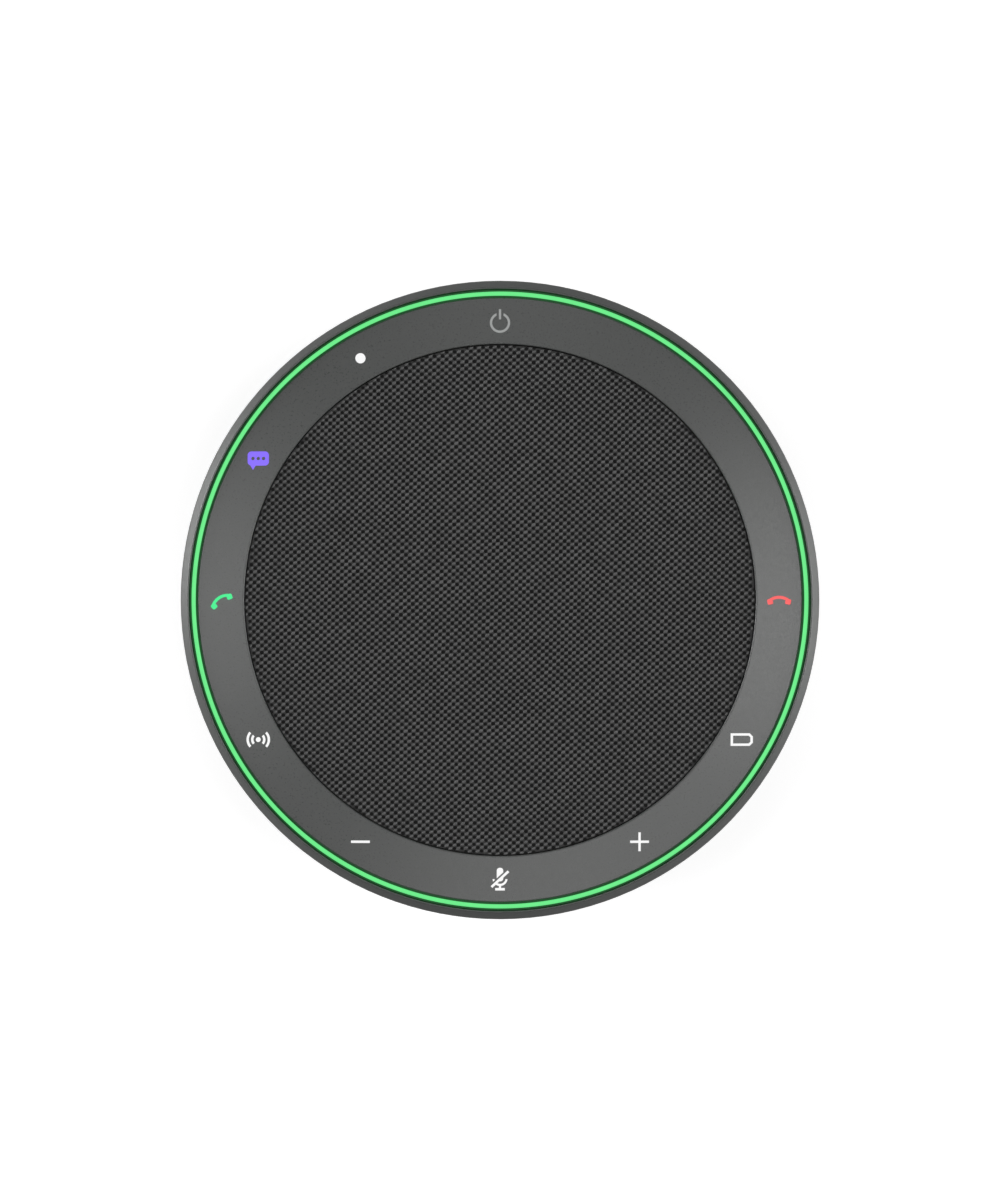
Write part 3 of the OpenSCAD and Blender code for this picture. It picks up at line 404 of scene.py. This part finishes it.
def weave_points(tree, size):
    grid = add(tree, "GeometryNodeMeshGrid",
               {"Size X": 0, "Size Y": 0, "Vertices X": size("Columns"), "Vertices Y": size("Rows")})
    index = add(tree, "GeometryNodeInputIndex").outputs[0]
    column = calc(tree, "FLOOR", calc(tree, "DIVIDE", index, size("Rows")))
    row = calc(tree, "MODULO", index, size("Rows"))
    stagger = calc(tree, "MODULO", calc(tree, "ADD", row, size("Parity")), 2.0)
    across = calc(tree, "ADD", calc(tree, "MULTIPLY", column, 2.0), stagger)
    x = calc(tree, "MULTIPLY", calc(tree, "SUBTRACT", across, size("Columns")), size("Column Pitch"))
    along = calc(tree, "SUBTRACT", row, calc(tree, "DIVIDE", size("Rows"), 2.0))
    y = calc(tree, "MULTIPLY", along, size("Row Pitch"))
    place = add(tree, "ShaderNodeCombineXYZ",
                {"X": calc(tree, "ADD", x, calc(tree, "MULTIPLY", y, size("Column Lean"))),
                 "Y": calc(tree, "ADD", y, calc(tree, "MULTIPLY", x, size("Row Lean"))),
                 "Z": size("Height")}).outputs[0]
    drift = add(tree, "ShaderNodeTexNoise", {"Vector": place, "Scale": wander_scale, "Detail": 1.0})
    wander = calc_vector(tree, "SUBTRACT", drift.outputs["Color"], noise_middle)
    laid = add(tree, "GeometryNodeSetPosition",
               {"Geometry": grid.outputs["Mesh"], "Position": place,
                "Offset": calc_vector(tree, "MULTIPLY", wander, wander_size)})
    outside = calc(tree, "GREATER_THAN", from_axis(tree)[1], size("Radius"))
    return add(tree, "GeometryNodeDeleteGeometry",
               {"Geometry": laid.outputs[0], "Selection": outside}).outputs[0]


def inside_edge(tree, cloth, radius):
    here, far = from_axis(tree)
    pull = calc(tree, "MINIMUM", calc(tree, "DIVIDE", radius, far), 1.0)
    pulls = add(tree, "ShaderNodeCombineXYZ", {"X": pull, "Y": pull, "Z": 1.0}).outputs[0]
    kept = calc_vector(tree, "MULTIPLY", here, pulls)
    return add(tree, "GeometryNodeSetPosition", {"Geometry": cloth, "Position": kept}).outputs[0]


print("weave points ready")

# %% [markdown]
# A float is the upper part of a small ball, longer along its yarn than across it. The sizes of the weave
# are named inputs of the tree, so that both yarns come from the same tree with other numbers.

# %% Domes on the points
sizes_of_weave = {
    "Columns": "Int", "Rows": "Int", "Parity": "Int", "Seed": "Int", "Radius": "Float",
    "Column Pitch": "Float", "Row Pitch": "Float", "Column Lean": "Float", "Row Lean": "Float",
    "Height": "Float", "Length": "Float", "Width": "Float", "Rise": "Float", "Turn": "Float",
    "Loose": "Float", "Yarn": "Material",
}
dome_sides, dome_rings, dome_foot = 8, 4, -0.1


def weave_tree():
    tree = bpy.data.node_groups.new("woven_floats", "GeometryNodeTree")
    tree.interface.new_socket("Geometry", in_out="OUTPUT", socket_type="NodeSocketGeometry")
    ids = {}
    for name, kind in sizes_of_weave.items():
        socket = tree.interface.new_socket(name, in_out="INPUT", socket_type="NodeSocket" + kind)
        ids[name] = socket.identifier
    size = tree.nodes.new("NodeGroupInput").outputs.__getitem__
    ball = add(tree, "GeometryNodeMeshUVSphere",
               {"Segments": dome_sides, "Rings": dome_rings, "Radius": 1.0}).outputs["Mesh"]
    height = add(tree, "ShaderNodeSeparateXYZ",
                 {"Vector": add(tree, "GeometryNodeInputPosition").outputs[0]}).outputs["Z"]
    lower = calc(tree, "LESS_THAN", height, dome_foot)
    dome = add(tree, "GeometryNodeDeleteGeometry", {"Geometry": ball, "Selection": lower}).outputs[0]
    vary = add(tree, "FunctionNodeRandomValue",
               {"Min_001": -1.0, "Max_001": 1.0, "Seed": size("Seed")}, data_type="FLOAT")
    loose = calc(tree, "MULTIPLY", out(vary, "Value_001"), size("Loose"))
    turn = calc(tree, "ADD", loose, size("Turn"))
    grow = calc(tree, "ADD", loose, 1.0)
    shape = add(tree, "ShaderNodeCombineXYZ",
                {"X": size("Length"), "Y": size("Width"), "Z": size("Rise")}).outputs[0]
    scale = add(tree, "ShaderNodeVectorMath", {"Vector": shape, "Scale": grow}, operation="SCALE").outputs[0]
    spin = add(tree, "ShaderNodeCombineXYZ", {"Z": turn}).outputs[0]
    floats = add(tree, "GeometryNodeInstanceOnPoints",
                 {"Points": weave_points(tree, size), "Instance": dome, "Rotation": spin, "Scale": scale})
    real = add(tree, "GeometryNodeRealizeInstances", {"Geometry": floats.outputs[0]})
    trimmed = inside_edge(tree, real.outputs[0], size("Radius"))
    smooth = add(tree, "GeometryNodeSetShadeSmooth", {"Geometry": trimmed})
    yarn = add(tree, "GeometryNodeSetMaterial", {"Geometry": smooth.outputs[0], "Material": size("Yarn")})
    tree.links.new(yarn.outputs[0], tree.nodes.new("NodeGroupOutput").inputs[0])
    return tree, ids


weave, weave_ids = weave_tree()
print("weave inputs:", ", ".join(weave_ids))

# %% [markdown]
# The yarn is a dark grey bundle of fine fibres. Streaks along the lie of the fibres and slow changes of
# shade from yarn to yarn keep the cloth alive when the eye comes close. Weft and warp are the same yarn,
# painted in two shades. The weft, which lies on top, is painted lighter: a painted highlight where it
# catches the light. The low warp is painted near black: a painted shade where it lies deep between
# the floats.

# %% Yarn finishes
fibre_lines = (2500, 14000, 2500)
shade_size, shade_span = 0.0035, 0.15
yarn_roughness, yarn_gloss, fibre_depth = 0.75, 0.15, 0.00003


def yarn(name, colour, turn):
    material, tree, shader, place = blank_finish(name)
    fibres = speckle(tree, stretched(tree, place, fibre_lines, turn), 1.0, 3.0)
    shade = speckle(tree, place, shade_size)
    slow = spread(tree, shade, -shade_span, shade_span)
    both = calc(tree, "ADD", spread(tree, fibres, 0, 1), slow)
    colours = tint(tree, both, shaded(colour, 0.7), shaded(colour, 1.3))
    tree.links.new(colours, shader.inputs["Base Color"])
    shader.inputs["Roughness"].default_value = yarn_roughness
    shader.inputs["Specular IOR Level"].default_value = yarn_gloss
    raised(tree, shader, fibres, fibre_depth)
    return material


# painted light and shade: the weft is painted lighter as if lit, the warp near black as if in shade
weft_yarn_painted_lit = yarn("weft_yarn_painted_lit", (0.101, 0.101, 0.101), -0.6)
warp_yarn_painted_shade = yarn("warp_yarn_painted_shade", (0.006, 0.006, 0.006), 1.2)
ground_yarn = yarn("ground_yarn", (0.044, 0.044, 0.044), 0.4)
cloth.data.materials.append(ground_yarn)
plain_cloth = nodes["grille_cloth"].data
plain_cloth.materials.clear()
plain_cloth.materials.append(ground_yarn)
print("yarns: weft, warp, ground")

# %% [markdown]
# The weave is set up as the photograph shows it: how far the columns and rows lie apart and how much the
# cloth leans. The weft's floats are long and high, and the warp's fill the places between them. Each
# result is kept as a plain mesh.

# %% Weave the floats
def woven(name, **sizes):
    host = bpy.data.objects.new(name + "_host", bpy.data.meshes.new(name + "_host"))
    scene.collection.objects.link(host)
    modifier = host.modifiers.new("weave", "NODES")
    modifier.node_group = weave
    for label, value in sizes.items():
        modifier[weave_ids[label.replace("_", " ")]] = value
    graph = bpy.context.evaluated_depsgraph_get()
    mesh = bpy.data.meshes.new_from_object(host.evaluated_get(graph))
    mesh.name = name
    bpy.data.objects.remove(host)
    piece = bpy.data.objects.new(name, mesh)
    scene.collection.objects.link(piece)
    return piece


lie = {"Columns": 72, "Rows": 158, "Radius": cloth_r - 0.0001, "Column_Pitch": 0.000821,
       "Row_Pitch": 0.00073, "Column_Lean": 0.0245, "Row_Lean": 0.042, "Height": ground_z, "Seed": 7}
weft = woven("grille_cloth_weft", **lie, Parity=0, Length=0.00047, Width=0.00028, Rise=yarn_rise / 1.1,
             Turn=0.55, Loose=0.1, Yarn=weft_yarn_painted_lit)
warp = woven("grille_cloth_warp", **lie, Parity=1, Length=0.00038, Width=0.00036, Rise=yarn_rise / 4,
             Turn=0.0, Loose=0.1, Yarn=warp_yarn_painted_shade)
for piece in (weft, warp):
    top = max(v.co.z for v in piece.data.vertices)
    print(piece.name, len(piece.data.polygons), "faces, top", round(top, 5))

# %% [markdown]
# The cloth takes the place of the plain solid in the frame. It rides on the casing. The cloth is a disc
# cut 109 mm across, wide enough to turn down over the edge of the plate.

# %% The cloth in the frame
for piece in (cloth, weft, warp):
    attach(piece, "casing")
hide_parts("grille_cloth")

# %% [markdown]
# The surround and the spider hold the cone: their outer edges are glued to the basket and stay still,
# and their inner edges move with the cone. A copy of each piece takes the place of the solid and bends
# between the two bodies. The share of the movement follows the radius, from 1 at the cone to 0 at the
# basket, with an easy start and end.

# %% Surround and spider that flex
def flexing(node, inner, outer, finish):
    mesh = nodes[node].data.copy()
    mesh.name = node + "_flex"
    body = bmesh.new()
    body.from_mesh(mesh)
    bmesh.ops.remove_doubles(body, verts=body.verts, dist=1e-7)
    body.to_mesh(mesh)
    body.free()
    mesh.materials.clear()
    mesh.materials.append(finishes[finish])
    piece = bpy.data.objects.new(node + "_flex", mesh)
    scene.collection.objects.link(piece)
    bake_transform(piece, "casing", "cone_assembly", start=(0, 0, 0), end=(0, 0, 1))
    radii = np.array([math.hypot(v.co.x, v.co.y) for v in mesh.vertices])
    share = np.clip((outer - radii) / (outer - inner), 0, 1)
    weights = share * share * (3 - 2 * share)
    mesh.attributes["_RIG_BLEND"].data.foreach_set("value", weights.astype(np.float32))
    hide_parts(node)
    return piece


surround_land, spider_hub, spider_land = 0.0014, 0.001, 0.003
surround = flexing("surround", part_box("cone")[1].x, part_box("surround")[1].x - surround_land, "soft_black")
spider = flexing("spider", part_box("voice_coil")[1].x + spider_hub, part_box("spider")[1].x - spider_land,
                 "spider_cloth")
print("flexing pieces:", surround.name, spider.name)

# %% [markdown]
# The floor is plain white and wide. To the camera it shines as white paper does in a product picture. Near
# the object only part of its white comes from that, so that the shadow still falls on it, and further away
# all of it does.

# %% Floor and surroundings
floor_half = 20.0
floor_z = -0.00005
floor_white = (0.6, 0.6, 0.6)
near, near_glow = 0.12, 0.65
far, far_glow = 0.6, 1.0
mirror_share = 0.15
floor_roughness = 0.9
sky_level = 0.05


def white_floor():
    mesh = bpy.data.meshes.new("floor")
    corners = [(x * floor_half, y * floor_half, floor_z) for x, y in ((-1, -1), (1, -1), (1, 1), (-1, 1))]
    mesh.from_pydata(corners, [], [(0, 1, 2, 3)])
    floor = bpy.data.objects.new("floor", mesh)
    scene.collection.objects.link(floor)
    material, tree, shader, place = blank_finish("floor_white")
    shader.inputs["Base Color"].default_value = (*floor_white, 1)
    shader.inputs["Roughness"].default_value = floor_roughness
    path = add(tree, "ShaderNodeLightPath").outputs
    clear = calc(tree, "MAXIMUM", path["Is Camera Ray"], path["Is Transmission Ray"])
    mirrored = calc(tree, "MULTIPLY", path["Is Glossy Ray"], mirror_share)
    away = add(tree, "ShaderNodeVectorMath", {"Vector": place}, operation="LENGTH").outputs["Value"]
    white = add(tree, "ShaderNodeMapRange", {"Value": away, "From Min": near, "From Max": far,
                                             "To Min": near_glow, "To Max": far_glow}).outputs[0]
    glow = calc(tree, "MULTIPLY", calc(tree, "MAXIMUM", clear, mirrored), white)
    shader.inputs["Emission Color"].default_value = (1, 1, 1, 1)
    tree.links.new(glow, shader.inputs["Emission Strength"])
    mesh.materials.append(material)
    return floor


floor = white_floor()
world = bpy.data.worlds.new("studio")
world.use_nodes = True
scene.world = world
sky = world.node_tree.nodes["Background"]
sky.inputs["Color"].default_value = (1, 1, 1, 1)
sky.inputs["Strength"].default_value = sky_level
print("floor and surroundings ready")

# %% [markdown]
# The light is that of a small studio with six soft boxes: two wide ones stand low at the left and at the
# right and draw the bright arcs on the shoulder, and four hang high around the object and draw the soft
# patches on the touch ring. Each is given by the brightness of a white card that faces it, and together
# they light a card on the table just white, so that a colour on the object renders as it is written.

# %% Soft boxes
def soft_box(name, azimuth, height, level, width=0.5, tall=0.5, distance=1.5):
    lamp = bpy.data.lights.new(name, "AREA")
    lamp.shape = "RECTANGLE"
    lamp.size = width
    lamp.size_y = tall
    lamp.energy = level * (math.pi * distance) ** 2
    box = bpy.data.objects.new(name, lamp)
    a, h = math.radians(azimuth), math.radians(height)
    spot = Vector((math.cos(a) * math.cos(h), math.sin(a) * math.cos(h), math.sin(h))) * distance
    box.location = spot
    box.rotation_euler = (-spot).to_track_quat("-Z", "Y").to_euler()
    box.visible_camera = False
    scene.collection.objects.link(box)
    return box


boxes = [
    soft_box("left_low_box", 166, 7, 1.2, 0.9, 0.3),
    soft_box("right_low_box", 2, 8, 1.05, 1.1, 0.3),
    soft_box("left_high_box", 180, 64, 0.22),
    soft_box("right_high_box", 356, 70, 0.21),
    soft_box("front_high_box", 278, 70, 0.13),
    soft_box("back_high_box", 90, 62, 0.1),
]
print("soft boxes:", [b.name for b in boxes])

# %% [markdown]
# The photograph looks straight down on the middle of the object, with the power symbol at the top. A long
# lens keeps the sides out of sight. Its distance follows from what the picture shows: 248.8 mm from the
# top edge to the bottom edge, at the height of the shoulder.

# %% Camera
shown = 0.2488
shoulder_z = 0.0345
focal, sensor, nearest = 135, 36, 0.01
lens = bpy.data.cameras.new("photo_camera")
lens.lens = focal
lens.sensor_width = sensor
lens.clip_start = nearest
camera = bpy.data.objects.new("photo_camera", lens)
camera.location = (0, 0, shoulder_z + shown * focal / sensor)
scene.collection.objects.link(camera)
scene.camera = camera
scene.view_settings.view_transform = "Standard"
print("camera height:", round(camera.location.z, 4))
